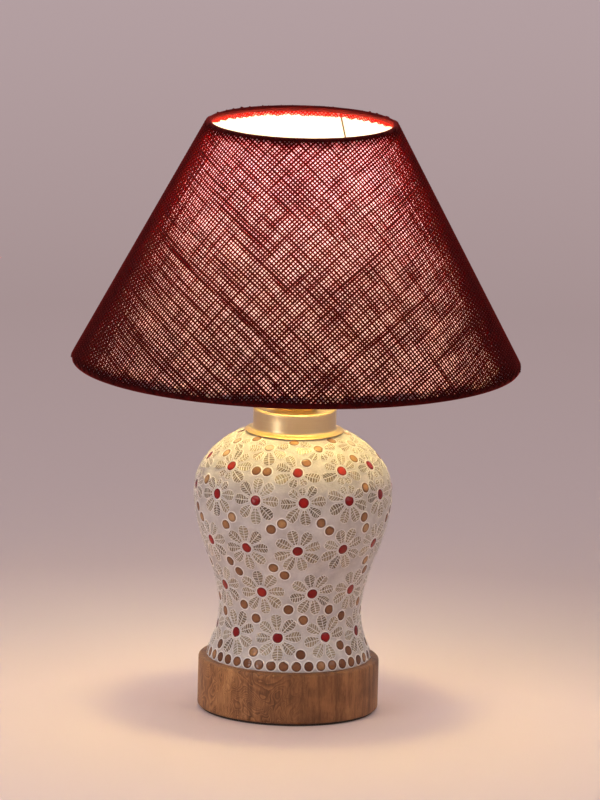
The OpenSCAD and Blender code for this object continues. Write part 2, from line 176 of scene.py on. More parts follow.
# ------------------------------------------------------------------ the body's profile (as in CAD)
base_d, base_h, felt_t = 122.0, 36.0, 1.5
body_h, belly_d = 157.0, 133.4
grout_t, red_d, amber_d, border_n, petal_reach = 2.0, 7.3, 6.9, 40, 16.5
profile_rel = [
    [.8280, 0], [.8190, .0250], [.7970, .0560], [.7640, .0900], [.7370, .1260],
    [.7215, .1650], [.7170, .2020], [.7210, .2380], [.7330, .2780], [.7540, .3240],
    [.7830, .3690], [.8190, .4140], [.8580, .4590], [.8980, .5030], [.9330, .5480],
    [.9620, .5920], [.9850, .6370], [.9970, .6820], [1.000, .7200], [.9930, .7620],
    [.9700, .7980], [.9320, .8330], [.8800, .8660], [.8150, .8980], [.7400, .9270],
    [.6550, .9530], [.5710, .9720], [.5030, .9830], [.4400, .9890]]
P = np.array([[p[0] * belly_d / 2, base_h + p[1] * body_h] for p in profile_rel])
cum = np.concatenate([[0], np.cumsum(np.linalg.norm(np.diff(P, axis=0), axis=1))])
S_END = cum[-1]


def s_at(z):
    return float(np.interp(z, P[:, 1], cum))


def r_of(s):
    return np.interp(s, cum, P[:, 0])


def z_of(s):
    return np.interp(s, cum, P[:, 1])


def lean(s):
    a = np.maximum(np.asarray(s, float) - 1.5, 0)
    b = np.minimum(np.asarray(s, float) + 1.5, S_END)
    return np.arctan2(r_of(a) - r_of(b), z_of(b) - z_of(a))


def on_body(az, s, h):
    """Surface point for azimuth (degrees, 0 at the front) and arc length, h mm out of the grout."""
    az = np.radians(np.asarray(az, float))
    ln = lean(s)
    r = r_of(s) + h * np.cos(ln)
    z = z_of(s) + h * np.sin(ln)
    return np.stack([r * np.sin(az), -r * np.cos(az), z], axis=-1)


kz = body_h / 157
row_top = [150.5, [23, 66, 112, 158, 201, 248, 295, 337]]
row_a = [137.7, [3, 34.5, 63.5, 94, 124.5, 155, 186, 216.5, 247, 277.5, 313.5]]
row_b = [119, [6.5, 35, 62.5, 90, 117, 144, 172, 199, 226, 254, 281, 310, 338]]
row_c = [85, [4, 34, 62.5, 92, 121.5, 151, 181, 210.5, 240, 270, 299.5, 331]]
row_d = [53.3, [17, 52.5, 88, 123.5, 159, 194.5, 230, 265, 300.5, 338]]
row_e = [22.2, [30, 67.5, 102.5, 137.5, 172.5, 207, 242, 277, 313, 351]]
pairs_bc = [102.3, [20, 48, 78, 108.5, 138.5, 169, 199, 229.5, 259.5, 290, 320, 351], 8.6,
            [-42, -70, 30, -40, 48, -60, 35, -35, 50, -45, 48, 30]]
pairs_cd = [69.5, [62, 98, 134, 170, 206, 242, 280, 318, 352], 9.2, [-60, 40, -42, 44, -48, 38, -45, -49, -36]]
pairs_de = [38.3, [5, 39.5, 75, 111, 147, 183, 219, 255, 290, 326.5], 12.6,
            [-36, -27, -40, -32, -38, -30, -35, -33, -42, -42]]
singles = [
    [11.7, [9, 84, 120, 156, 192, 228, 262, 297, 333]],
    [16, [43]],
    [11.4, [50.5]],
    [137.4, [334.5, 342.2]],
    [143.4, [9.5, 51, 110, 172, 235, 299]],
    [125.8, [49, 103.5, 158, 240, 296]],
    [153.6, [0, 45, 90, 135, 180, 225, 270, 315]]]


def sites(row, r):
    return [(a, s_at(base_h + row[0] * kz), r) for a in row[1]]


def pair_sites(p):
    out = []
    for i, az in enumerate(p[1]):
        s0 = s_at(base_h + p[0] * kz)
        R0 = float(r_of(s0))
        c, d = math.cos(math.radians(p[3][i])), math.sin(math.radians(p[3][i]))
        for e in (-0.5, 0.5):
            out.append((az + e * p[2] * c / R0 * RAD, s0 + e * p[2] * d, amber_d / 2))
    return out


fl_sh = sites(row_top, amber_d / 2) + sites(row_a, red_d / 2)
fl_be = sites(row_b, red_d / 2) + sites(row_c, red_d / 2)
fl_wa = sites(row_d, red_d / 2) + sites(row_e, red_d / 2)
reds = sites(row_a, red_d / 2) + fl_be + fl_wa
ambers = sites(row_top, amber_d / 2) + pair_sites(pairs_bc) + pair_sites(pairs_cd) + pair_sites(pairs_de)
for srow in singles:
    ambers += sites(srow, amber_d / 2)
loose = ambers[len(row_top[1]):]
flowers = fl_sh + fl_be + fl_wa
s_border = s_at(base_h + 4 * kz)
border = [(5.7 + i * 360 / border_n, s_border, 3.45) for i in range(border_n)]


def turn(a):
    return a - 360 * round(a / 360)


def near(i, lst):
    out = []
    for k in lst:
        m = (r_of(i[1]) + r_of(k[1])) / 2
        o = (turn(k[0] - i[0]) / RAD * m, k[1] - i[1])
        d = math.hypot(*o)
        if 0.5 < d < 36:
            out.append((o[0], o[1], k[2]))
    return out


def hsh(i, k):
    v = math.sin(math.radians(i * 127.1 + k * 311.7)) * 437.585
    return v - math.floor(v)


petal_in = 5.1


def half_w(L):
    return 1.3 + 0.22 * L


def leaf(L):
    w = half_w(L)
    return [(0, -0.22 * w), (0.25 * L, -0.64 * w), (0.56 * L, -w), (0.84 * L, -0.76 * w), (L, -0.26 * w),
            (L, 0.26 * w), (0.84 * L, 0.76 * w), (0.56 * L, w), (0.25 * L, 0.64 * w), (0, 0.22 * w)]


def turned(p, f):
    c, s = math.cos(math.radians(f)), math.sin(math.radians(f))
    return (p[0] * c - p[1] * s, p[0] * s + p[1] * c)


def seg_dist(p, a, b):
    dx, dy = b[0] - a[0], b[1] - a[1]
    t = max(0.0, min(1.0, ((p[0] - a[0]) * dx + (p[1] - a[1]) * dy) / (dx * dx + dy * dy)))
    return math.hypot(p[0] - a[0] - t * dx, p[1] - a[1] - t * dy)


def fits(t, f, fl, dl):
    pts = [turned((p[0] + petal_in, p[1]), f) for p in leaf(t - petal_in)]
    for k in fl:
        n = math.hypot(k[0], k[1])
        for p in pts:
            if (p[0] * k[0] + p[1] * k[1]) / n > n / 2 - 0.4:
                return False
    return all(seg_dist((k[0], k[1]), pts[e], pts[(e + 1) % 10]) >= k[2] + 0.5 for k in dl for e in range(10))


def petals(i, c):
    n = 8
    fl = near(i, flowers)
    dl = near(i, loose) + near(i, border)
    out = []
    for j in range(n):
        f = 360 / n * j + 30 * hsh(c, 1) + 4 * (hsh(c, j + 3) - 0.5)
        t = petal_reach - 1.2 * hsh(c, j + 20)
        while t >= 8.9 and not fits(t, f, fl, dl):
            t -= 0.6
        if t >= 8.9:
            out.append((f, t))
    return out


all_petals = []
for lst, c0 in ((fl_sh, 0), (fl_be, 40), (fl_wa, 80)):
    for q, site in enumerate(lst):
        for f, t in petals(site, c0 + q):
            all_petals.append((site, f, t))

# ------------------------------------------------------------------ materials
M = {}

# matte cement grout, slightly sandy, in random lighter and greyer patches
m, nt, b, out = shader("grout", Roughness=0.85)
v = coords(nt)
f = noise(nt, v, 90, 6, 0.65)
nt.links.new(ramp(nt, f, [(0.3, (0.42, 0.375, 0.365)), (0.5, (0.54, 0.495, 0.485)), (0.72, (0.67, 0.63, 0.615))]), b.inputs["Base Color"])
bump(nt, b, noise(nt, v, 700, 6, 0.75), 0.8, 0.0008)
M["grout"] = m

# grout squeezed up round the glass: the same cement as the bed, painted whiter as a painted highlight on the raised
# lines
m, nt, b, out = shader("grout_ridge", Roughness=0.8)
v = coords(nt)
f = noise(nt, v, 250, 4, 0.6)
nt.links.new(ramp(nt, f, [(0.3, (0.68, 0.63, 0.60)), (0.7, (0.88, 0.83, 0.80))]), b.inputs["Base Color"])
bump(nt, b, noise(nt, v, 1200, 4, 0.7), 0.4, 0.0003)
M["grout_ridge"] = m

# silvered glass slivers, tint per sliver
m, nt, b, out = shader("sliver_glass", Roughness=0.32, Metallic=0.25, Coat_Weight=0.35, Coat_Roughness=0.1)
v = coords(nt)
t = attr(nt, "tint")
base = ramp(nt, t, [(0.0, (0.16, 0.11, 0.07)), (0.3, (0.26, 0.19, 0.12)), (0.6, (0.38, 0.295, 0.195)), (0.85, (0.34, 0.295, 0.22)), (1.0, (0.52, 0.44, 0.32))])
f = noise(nt, v, 700, 4, 0.7)
mx = node(nt, "MixRGB", {"blend_type": "MULTIPLY"}, Fac=0.55)
nt.links.new(base, mx.inputs["Color1"])
nt.links.new(ramp(nt, f, [(0.3, grey(0.45)), (0.65, grey(1.0))]), mx.inputs["Color2"])
nt.links.new(mx.outputs["Color"], b.inputs["Base Color"])
bump(nt, b, noise(nt, v, 500, 3, 0.5), 0.3, 0.0004)
M["sliver"] = m


def disc_mat(name, tints, rim_shade_color, rough=0.13):
    m, nt, b, out = shader(name, Roughness=rough, Specular_IOR_Level=0.3, Coat_Weight=0.06, Coat_Roughness=0.06)
    v = coords(nt)
    t = attr(nt, "tint")
    base = ramp(nt, t, tints)
    f = noise(nt, v, 420, 4, 0.6)
    mo = node(nt, "MixRGB", {"blend_type": "MULTIPLY"}, Fac=0.7)
    nt.links.new(base, mo.inputs["Color1"])
    nt.links.new(ramp(nt, f, [(0.3, grey(0.62)), (0.7, grey(1.12))]), mo.inputs["Color2"])
    # painted shade: the outer ring of each disc blends to a dark rim colour, standing in for the dark refraction at the
    # glass edge
    r = attr(nt, "rim")
    mx = node(nt, "MixRGB", {"blend_type": "MIX"})
    nt.links.new(ramp(nt, r, [(0.55, grey(0)), (0.98, grey(0.85))]), mx.inputs["Fac"])
    nt.links.new(mo.outputs["Color"], mx.inputs["Color1"])
    mx.inputs["Color2"].default_value = (*rim_shade_color, 1)
    nt.links.new(mx.outputs["Color"], b.inputs["Base Color"])
    bump(nt, b, noise(nt, v, 220, 2, 0.5), 0.25, 0.0005)
    return m


M["red"] = disc_mat("red_glass", [(0.0, (0.19, 0.002, 0.002)), (0.5, (0.27, 0.004, 0.003)), (1.0, (0.38, 0.010, 0.006))], (0.11, 0.001, 0.003))
M["amber"] = disc_mat("amber_glass", [(0.0, (0.15, 0.052, 0.02)), (0.4, (0.28, 0.115, 0.048)), (0.75, (0.46, 0.24, 0.10)), (0.93, (0.52, 0.33, 0.19)), (1.0, (0.56, 0.47, 0.42))], (0.075, 0.024, 0.01), 0.1)

# oiled hardwood: a swirling figure on the front left, straighter streaks to the right
m, nt, b, out = shader("plinth_wood", Roughness=0.52, Specular_IOR_Level=0.3)
v = coords(nt, (1, 1, 1), (0.016, 0.058, 0.002), (0.0, 0.35, 0.0))
warp = node(nt, "TexNoise", Scale=24, Detail=4, Roughness=0.55)
nt.links.new(v, warp.inputs["Vector"])
va = node(nt, "VectorMath", {"operation": "MULTIPLY_ADD"})
nt.links.new(warp.outputs["Color"], va.inputs[0])
va.inputs[1].default_value = (0.020, 0.020, 0.020)
nt.links.new(v, va.inputs[2])
fig = node(nt, "TexNoise", Scale=30, Detail=2, Roughness=0.45, Distortion=0.4)
nt.links.new(va.outputs["Vector"], fig.inputs["Vector"])
mul = node(nt, "Math", {"operation": "MULTIPLY"})
nt.links.new(fig.outputs["Fac"], mul.inputs[0])
mul.inputs[1].default_value = 46.0
sw = node(nt, "Math", {"operation": "FRACT"})
nt.links.new(mul.outputs["Value"], sw.inputs[0])
v2 = coords(nt, (15, 15, 1.2), (0, 0, 0), (0.05, 0.12, 0))
streak = noise(nt, v2, 8, 8, 0.68, 0.8)
v3 = coords(nt, (70, 70, 12), (0, 0, 0), (0.25, 0.5, 0))
fine = noise(nt, v3, 12, 7, 0.75, 0.6)
tc = nt.nodes.new("ShaderNodeTexCoord")
sep = nt.nodes.new("ShaderNodeSeparateXYZ")
nt.links.new(tc.outputs["Object"], sep.inputs["Vector"])
mr = node(nt, "MapRange", {}, From_Min=-0.010, From_Max=0.020)
nt.links.new(sep.outputs["X"], mr.inputs["Value"])
mx = node(nt, "MixRGB", {"blend_type": "MIX"})
nt.links.new(mr.outputs["Result"], mx.inputs["Fac"])
soft = node(nt, "MixRGB", {"blend_type": "MIX"}, Fac=0.70)
nt.links.new(sw.outputs["Value"], soft.inputs["Color1"])
nt.links.new(streak, soft.inputs["Color2"])
nt.links.new(soft.outputs["Color"], mx.inputs["Color1"])
nt.links.new(streak, mx.inputs["Color2"])
mf = node(nt, "MixRGB", {"blend_type": "OVERLAY"}, Fac=0.9)
nt.links.new(mx.outputs["Color"], mf.inputs["Color1"])
nt.links.new(fine, mf.inputs["Color2"])
big = noise(nt, coords(nt, (1, 1, 1.1)), 36, 4, 0.55, 0.8)
mb = node(nt, "MixRGB", {"blend_type": "OVERLAY"}, Fac=0.85)
nt.links.new(mf.outputs["Color"], mb.inputs["Color1"])
nt.links.new(big, mb.inputs["Color2"])
# painted light and shade: the front of the plinth is painted lighter on the left and darker in the centre, as the key
# light from the left falls on it
side = node(nt, "MapRange", {}, From_Min=-0.061, From_Max=0.061)
nt.links.new(sep.outputs["X"], side.inputs["Value"])
band = node(nt, "MixRGB", {"blend_type": "MULTIPLY"}, Fac=1.0)
nt.links.new(ramp(nt, side.outputs["Result"], [(0.0, grey(1.0)), (0.28, grey(0.97)), (0.45, grey(0.78)), (0.58, grey(0.66)), (0.75, grey(0.76)), (1.0, grey(0.88))]), band.inputs["Color2"])
nt.links.new(mb.outputs["Color"], band.inputs["Color1"])
nt.links.new(ramp(nt, band.outputs["Color"], [(0.10, (0.055, 0.018, 0.006)), (0.32, (0.155, 0.062, 0.024)), (0.52, (0.285, 0.125, 0.048)), (0.80, (0.50, 0.25, 0.10))]), b.inputs["Base Color"])
bump(nt, b, fine, 0.3, 0.0003)
M["wood"] = m

# satin lacquered brass with fine turning marks
def brass(name, c0, c1, rough=(0.22, 0.36)):
    m, nt, b, out = shader(name, Metallic=1.0)
    v = coords(nt, (1, 1, 60))
    f = noise(nt, v, 30, 5, 0.7)
    nt.links.new(ramp(nt, f, [(0.3, c0), (0.7, c1)]), b.inputs["Base Color"])
    nt.links.new(ramp(nt, f, [(0.3, grey(rough[0])), (0.7, grey(rough[1]))]), b.inputs["Roughness"])
    bump(nt, b, noise(nt, coords(nt, (0.6, 0.6, 60)), 30, 3, 0.6), 0.04, 0.0001)
    return m


M["brass"] = brass("brass_satin", (0.92, 0.68, 0.35), (0.99, 0.78, 0.43), (0.28, 0.38))
# holder and ring nut: the same brass as the cap, painted darker as painted shade under the lampshade
M["brass_painted_shade"] = brass("brass_holder", (0.50, 0.33, 0.13), (0.66, 0.46, 0.2), (0.25, 0.4))
M["contact"] = brass("contact_brass", (0.55, 0.36, 0.16), (0.7, 0.5, 0.25), (0.3, 0.45))
M["nickel"] = brass("nickel", (0.55, 0.53, 0.49), (0.68, 0.66, 0.62), (0.22, 0.34))
M["zinc"] = simple("zinc_steel", [(0.3, (0.38, 0.38, 0.39)), (0.7, (0.55, 0.55, 0.56))], 160, (0.3, 0.5), 1.0)
M["felt"] = simple("felt", [(0.3, (0.03, 0.022, 0.016)), (0.7, (0.07, 0.05, 0.036))], 900, (0.95, 1.0), 0, 1500, 0.6)
M["rubber"] = simple("bush_rubber", [(0.3, (0.014, 0.014, 0.014)), (0.7, (0.03, 0.03, 0.03))], 300, (0.55, 0.75))
M["porcelain"] = simple("porcelain", [(0.3, (0.70, 0.68, 0.63)), (0.7, (0.82, 0.80, 0.76))], 120, (0.12, 0.22), 0, 500, 0.05)
M["blackglass"] = simple("black_glass", [(0.3, (0.006, 0.006, 0.008)), (0.7, (0.016, 0.016, 0.018))], 200, (0.08, 0.18))
M["wire"] = simple("white_wire", [(0.3, (0.62, 0.60, 0.56)), (0.7, (0.74, 0.72, 0.68))], 260, (0.3, 0.45))
M["fibre"] = simple("fibre_washer", [(0.3, (0.09, 0.035, 0.02)), (0.7, (0.16, 0.07, 0.04))], 500, (0.6, 0.8), 0, 1200, 0.4)
M["vase"] = simple("vase_glass", [(0.3, (0.78, 0.84, 0.82)), (0.7, (0.86, 0.9, 0.88))], 60, (0.03, 0.08), 0, 120, 0.05, Transmission_Weight=1.0, IOR=1.5)

# translucent liner: lets the bulb's light through; its translucency is scaled by height, a painted glow brighter near
# the bottom and top and dimmer in the middle
m = bpy.data.materials.new("liner_cloth")
m.use_nodes = True
nt = m.node_tree
nt.nodes.clear()
out = nt.nodes.new("ShaderNodeOutputMaterial")
v = coords(nt, (1, 1, 1))
f = noise(nt, v, 55, 5, 0.6)
c_t = ramp(nt, f, [(0.3, (0.92, 0.46, 0.70)), (0.7, (0.99, 0.52, 0.78))])
c_d = ramp(nt, f, [(0.3, (0.84, 0.82, 0.80)), (0.7, (0.92, 0.90, 0.88))])
tc = nt.nodes.new("ShaderNodeTexCoord")
sep = nt.nodes.new("ShaderNodeSeparateXYZ")
nt.links.new(tc.outputs["Object"], sep.inputs["Vector"])
# painted glow: height ramp that scales how much light the liner lets through
mr = node(nt, "MapRange", {}, From_Min=0.24, From_Max=0.40)
nt.links.new(sep.outputs["Z"], mr.inputs["Value"])
liner_painted_glow = node(nt, "MixRGB", {"blend_type": "MULTIPLY"}, Fac=1.0)
nt.links.new(c_t, liner_painted_glow.inputs["Color1"])
nt.links.new(ramp(nt, mr.outputs["Result"], [(0.05, grey(1.0)), (0.30, grey(0.72)), (0.50, grey(0.58)), (0.75, grey(0.64)), (1.0, grey(0.84))]), liner_painted_glow.inputs["Color2"])
tr = nt.nodes.new("ShaderNodeBsdfTranslucent")
di = nt.nodes.new("ShaderNodeBsdfDiffuse")
nt.links.new(liner_painted_glow.outputs["Color"], tr.inputs["Color"])
nt.links.new(c_d, di.inputs["Color"])
ms = nt.nodes.new("ShaderNodeMixShader")
ms.inputs["Fac"].default_value = 0.42
nt.links.new(tr.outputs["BSDF"], ms.inputs[1])
nt.links.new(di.outputs["BSDF"], ms.inputs[2])
nt.links.new(ms.outputs["Shader"], out.inputs["Surface"])
M["liner"] = m


def jute(name, stops, trans, glow=0.35, flank=None):
    m = bpy.data.materials.new(name)
    m.use_nodes = True
    nt = m.node_tree
    nt.nodes.clear()
    out = nt.nodes.new("ShaderNodeOutputMaterial")
    b = nt.nodes.new("ShaderNodeBsdfPrincipled")
    b.inputs["Roughness"].default_value = 0.85
    b.inputs["Specular IOR Level"].default_value = 0.08
    b.inputs["Sheen Weight"].default_value = 0.6
    b.inputs["Sheen Roughness"].default_value = 0.3
    b.inputs["Sheen Tint"].default_value = (1.0, 0.05, 0.04, 1)
    v = coords(nt)
    f = noise(nt, v, 260, 5, 0.65)
    c = ramp(nt, f, stops)
    nt.links.new(c, b.inputs["Base Color"])
    bump(nt, b, noise(nt, v, 2400, 3, 0.7), 0.5, 0.0003)
    tr = nt.nodes.new("ShaderNodeBsdfTranslucent")
    f3 = noise(nt, v, 120, 3, 0.5)
    t2 = nt.nodes.new("ShaderNodeTexCoord")
    sp = nt.nodes.new("ShaderNodeSeparateXYZ")
    nt.links.new(t2.outputs["Object"], sp.inputs["Vector"])
    # painted glow: the translucent colour is scaled up towards the top of the shade, so the cloth is painted to glow
    # more high up
    up = node(nt, "MapRange", {}, From_Min=0.24, From_Max=0.40)
    nt.links.new(sp.outputs["Z"], up.inputs["Value"])
    thread_painted_glow = node(nt, "MixRGB", {"blend_type": "MULTIPLY"}, Fac=1.0)
    nt.links.new(ramp(nt, f3, trans), thread_painted_glow.inputs["Color1"])
    nt.links.new(ramp(nt, up.outputs["Result"], [(0.0, grey(0.24)), (0.3, grey(0.36)), (0.6, grey(0.62)), (0.9, grey(1.0))]), thread_painted_glow.inputs["Color2"])
    nt.links.new(thread_painted_glow.outputs["Color"], tr.inputs["Color"])
    ms = nt.nodes.new("ShaderNodeMixShader")
    if flank is None:
        ms.inputs["Fac"].default_value = glow
    else:
        nt.links.new(ramp(nt, attr(nt, "edge"), [(0.0, grey(glow)), (0.5, grey(glow * 1.6)), (1.0, grey(flank))]), ms.inputs["Fac"])
    nt.links.new(b.outputs["BSDF"], ms.inputs[1])
    nt.links.new(tr.outputs["BSDF"], ms.inputs[2])
    nt.links.new(ms.outputs["Shader"], out.inputs["Surface"])
    return m


M["jute"] = jute("jute_thread", [(0.3, (0.016, 0.0005, 0.0006)), (0.55, (0.028, 0.0007, 0.001)), (0.8, (0.060, 0.0015, 0.002))], [(0.3, (0.55, 0.003, 0.002)), (0.7, (0.95, 0.010, 0.006))], 0.008, 0.62)
M["hem"] = jute("jute_hem", [(0.3, (0.035, 0.001, 0.001)), (0.55, (0.065, 0.002, 0.002)), (0.8, (0.12, 0.005, 0.004))], [(0.3, (0.2, 0.005, 0.003)), (0.7, (0.35, 0.01, 0.005))], 0.12)
# inside folds: the same jute painted a much brighter red, painted light for the bulb-lit inside of the shade
M["fold"] = jute("jute_fold_painted_lit", [(0.3, (0.28, 0.008, 0.007)), (0.55, (0.42, 0.015, 0.012)), (0.8, (0.60, 0.035, 0.025))], [(0.3, (0.7, 0.03, 0.02)), (0.7, (0.9, 0.05, 0.035))], 0.35)

# the lit, frosted bulb
BULB_POWER = 82.0
m, nt, b, out = shader("bulb_frosted", Roughness=0.35)
v = coords(nt)
f = noise(nt, v, 60, 3, 0.5)
nt.links.new(ramp(nt, f, [(0.3, (0.86, 0.80, 0.70)), (0.7, (0.95, 0.90, 0.82))]), b.inputs["Base Color"])
tc = nt.nodes.new("ShaderNodeTexCoord")
sep = nt.nodes.new("ShaderNodeSeparateXYZ")
nt.links.new(tc.outputs["Object"], sep.inputs["Vector"])
mr = node(nt, "MapRange", {}, From_Min=0.262, From_Max=0.325)
nt.links.new(sep.outputs["Z"], mr.inputs["Value"])
nt.links.new(ramp(nt, mr.outputs["Result"], [(0.0, (0.52, 0.45, 0.10)), (0.35, (0.72, 0.61, 0.175)), (0.7, (0.84, 0.64, 0.30)), (1.0, (0.90, 0.68, 0.44))]), b.inputs["Emission Color"])
b.inputs["Emission Strength"].default_value = BULB_POWER
M["bulb"] = m
m, nt, b, out = shader("filament", Roughness=0.4)
v = coords(nt)
f = noise(nt, v, 900, 3, 0.5)
nt.links.new(ramp(nt, f, [(0.3, (1.0, 0.62, 0.28)), (0.7, (1.0, 0.75, 0.45))]), b.inputs["Emission Color"])
nt.links.new(ramp(nt, f, [(0.3, (0.9, 0.6, 0.3)), (0.7, (1.0, 0.75, 0.45))]), b.inputs["Base Color"])
b.inputs["Emission Strength"].default_value = 30
M["filament"] = m
M["tape"] = simple("liner_tape", [(0.3, (0.035, 0.012, 0.008)), (0.7, (0.07, 0.028, 0.018))], 300, (0.6, 0.8))
M["stem"] = simple("stem_glass", [(0.3, (0.8, 0.85, 0.83)), (0.7, (0.88, 0.92, 0.9))], 90, (0.03, 0.1), 0, 200, 0.05, Transmission_Weight=1.0, IOR=1.5)

cad_mat = {
    "base_felt": "felt", "wood_base": "wood", "cord_bush": "rubber", "base_washer": "zinc", "base_nut": "zinc",
    "threaded_tube": "zinc", "glass_vase": "vase", "grout_layer": "grout", "red_disc_tiles": "red",
    "amber_disc_tiles": "amber", "border_disc_tiles": "amber", "petal_tiles_shoulder": "sliver",
    "petal_tiles_belly": "sliver", "petal_tiles_waist": "sliver", "brass_cap": "brass", "holder_cap": "brass_painted_shade",
    "holder_shell": "brass_painted_shade", "holder_insert": "porcelain", "holder_screw_shell": "contact",
    "holder_centre_contact": "contact", "terminal_screws": "zinc", "shade_fabric": "jute", "shade_liner": "liner",
    "shade_top_ring": "wire", "shade_bottom_ring": "wire", "fitter_arms": "wire", "fitter_hub": "wire",
    "ring_washer": "fibre", "shade_ring_nut": "brass_painted_shade", "bulb_contact": "contact", "bulb_insulator": "blackglass",
    "bulb_screw_cap": "nickel", "bulb_envelope": "bulb", "bulb_stem": "stem", "bulb_filament": "filament"}
for name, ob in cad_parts.items():
    ob.data.materials.clear()
    ob.data.materials.append(M[cad_mat[name]])

# ------------------------------------------------------------------ grout bed
seg_n = 288
ss = np.linspace(0, S_END, 190)
ph = rng.uniform(0, 6.28, 12)
V, F = [], []
rows = []
for j, s in enumerate(ss):
    az = np.arange(seg_n) * 360.0 / seg_n
    a = np.radians(az)
    h = 0.0 + 0.04 * np.sin(7 * a + ph[0] + s * 0.05) + 0.035 * np.sin(13 * a + ph[1] - s * 0.11) \
        + 0.03 * np.sin(23 * a + s * 0.21 + ph[2]) + 0.025 * np.sin(s * 0.5 + 5 * a + ph[3])
    if j == 0:
        h = h * 0 - 0.15
    rows.append(on_body(az, np.full(seg_n, s), h - 0.05))
inner = []
for s in (S_END, S_END * 0.5, 0.0):
    az = np.arange(seg_n) * 360.0 / seg_n
    inner.append(on_body(az, np.full(seg_n, s), -1.9))
allrows = np.concatenate([np.array(rows), np.array([inner[0]])])
m_r = allrows.shape[0]
V = allrows.reshape(-1, 3)
for j in range(m_r - 1):
    for i in range(seg_n):
        k = (i + 1) % seg_n
        F.append((j * seg_n + i, j * seg_n + k, (j + 1) * seg_n + k, (j + 1) * seg_n + i))
grout = make("mosaic_grout_bed", V, F, [M["grout"]])
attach(grout, "stand")
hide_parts("grout_layer")

# ------------------------------------------------------------------ petals cut from slivers
GV, GF, TINT = [], [], []


def emit_prism(pts2, site, f, h_low, h_mid, h_top, inset, tint):
    """A bevelled piece of glass whose outline pts2 is in the flower's plane (mm)."""
    c = np.mean(pts2, axis=0)
    n = len(pts2)
    base = len(GV)
    for ring, (hh, k) in enumerate(((h_low, 1.0), (h_mid, 1.0), (h_top, 1.0 - inset))):
        for q in range(n):
            p = c + (pts2[q] - c) * k
            GV.append((site, p, hh))
            TINT.append(tint)
    for ring in range(2):
        for q in range(n):
            r2 = (q + 1) % n
            GF.append((base + ring * n + q, base + ring * n + r2, base + (ring + 1) * n + r2, base + (ring + 1) * n + q))
    GF.append(tuple(base + 2 * n + q for q in range(n)))


def place(site, u, v, h):
    s = site[1] + v
    m = (r_of(site[1]) + r_of(s)) / 2
    az = site[0] + u / m * RAD
    return on_body(az, s, h)


def w_at(x, L, w):
    return np.interp(x, [0, 0.12 * L, 0.25 * L, 0.42 * L, 0.58 * L, 0.74 * L, 0.88 * L, L], [0.26 * w, 0.46 * w, 0.68 * w, 0.90 * w, w, 0.92 * w, 0.72 * w, 0.34 * w])


ridge_lines, ribs = [], []
for site, f, t in all_petals:
    L = t - petal_in
    w = half_w(L) * 0.99
    if site[1] + max(t * math.sin(math.radians(f)), 0) > S_END - 2.0:
        continue
    nrow = 6 if L > 8.8 else (5 if L > 6.6 else (4 if L > 5.0 else 3))
    mid = 0.30
    gap = 0.46
    chev = math.tan(math.radians(rng.uniform(12, 36)))
    shade_t = rng.uniform(0, 0.75)
    bend = rng.uniform(-0.25, 0.25)
    xs = np.linspace(0, L, nrow + 1)
    xs = xs + np.concatenate([[0], rng.uniform(-0.2, 0.2, nrow - 1), [0]])
    for side in (-1, 1):
        for k in range(nrow):
            x0, x1 = xs[k] + gap / 2, xs[k + 1] - gap / 2
            w0, w1 = w_at(x0, L, w), w_at(x1, L, w)
            sh0 = chev * (w0 - mid) * 0.75
            sh1 = chev * (w1 - mid) * 0.75
            if k == nrow - 1:
                sh1 = min(sh1, 0.0) - 0.25 * w1
            o0, o1 = w0 * rng.uniform(0.93, 1.02), w1 * rng.uniform(0.93, 1.02)
            o0, o1 = max(o0, mid + 0.35), max(o1, mid + 0.3)
            quad = np.array([(x0, side * mid), (x0 + sh0 * (k > 0), side * o0), (x1 + sh1, side * o1), (x1, side * mid)])
            quad[:, 0] += petal_in
            quad[:, 1] += bend * (quad[:, 0] - petal_in) ** 2 / L * 0.25
            if side > 0:
                quad = quad[::-1]
            cc, cs = math.cos(math.radians(f)), math.sin(math.radians(f))
            pts = np.stack([quad[:, 0] * cc - quad[:, 1] * cs, quad[:, 0] * cs + quad[:, 1] * cc], axis=1)
            tt = float(np.clip(shade_t + rng.uniform(-0.18, 0.25), 0, 1))
            hh = rng.uniform(0.18, 0.30)
            if k > 0:
                ribs.append((site, f, xs[k], sh0, side, o0, L, bend))
            emit_prism(pts[::-1], site, f, -0.5, hh - 0.05, hh + 0.05, 0.14, tt)
    ridge_lines.append((site, f, L, bend))
sites_arr = np.array([(g[0][0], g[0][1]) for g in GV])
uv = np.array([g[1] for g in GV])
hh = np.array([g[2] for g in GV])
s_all = sites_arr[:, 1] + uv[:, 1]
m_all = (r_of(sites_arr[:, 1]) + r_of(s_all)) / 2
az_all = sites_arr[:, 0] + uv[:, 0] / m_all * RAD
GVX = on_body(az_all, s_all, hh)
pet = make("mosaic_petal_slivers", GVX, GF, [M["sliver"]], smooth=False, attrs={"tint": TINT})
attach(pet, "stand")
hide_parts("petal_tiles_shoulder", "petal_tiles_belly", "petal_tiles_waist")

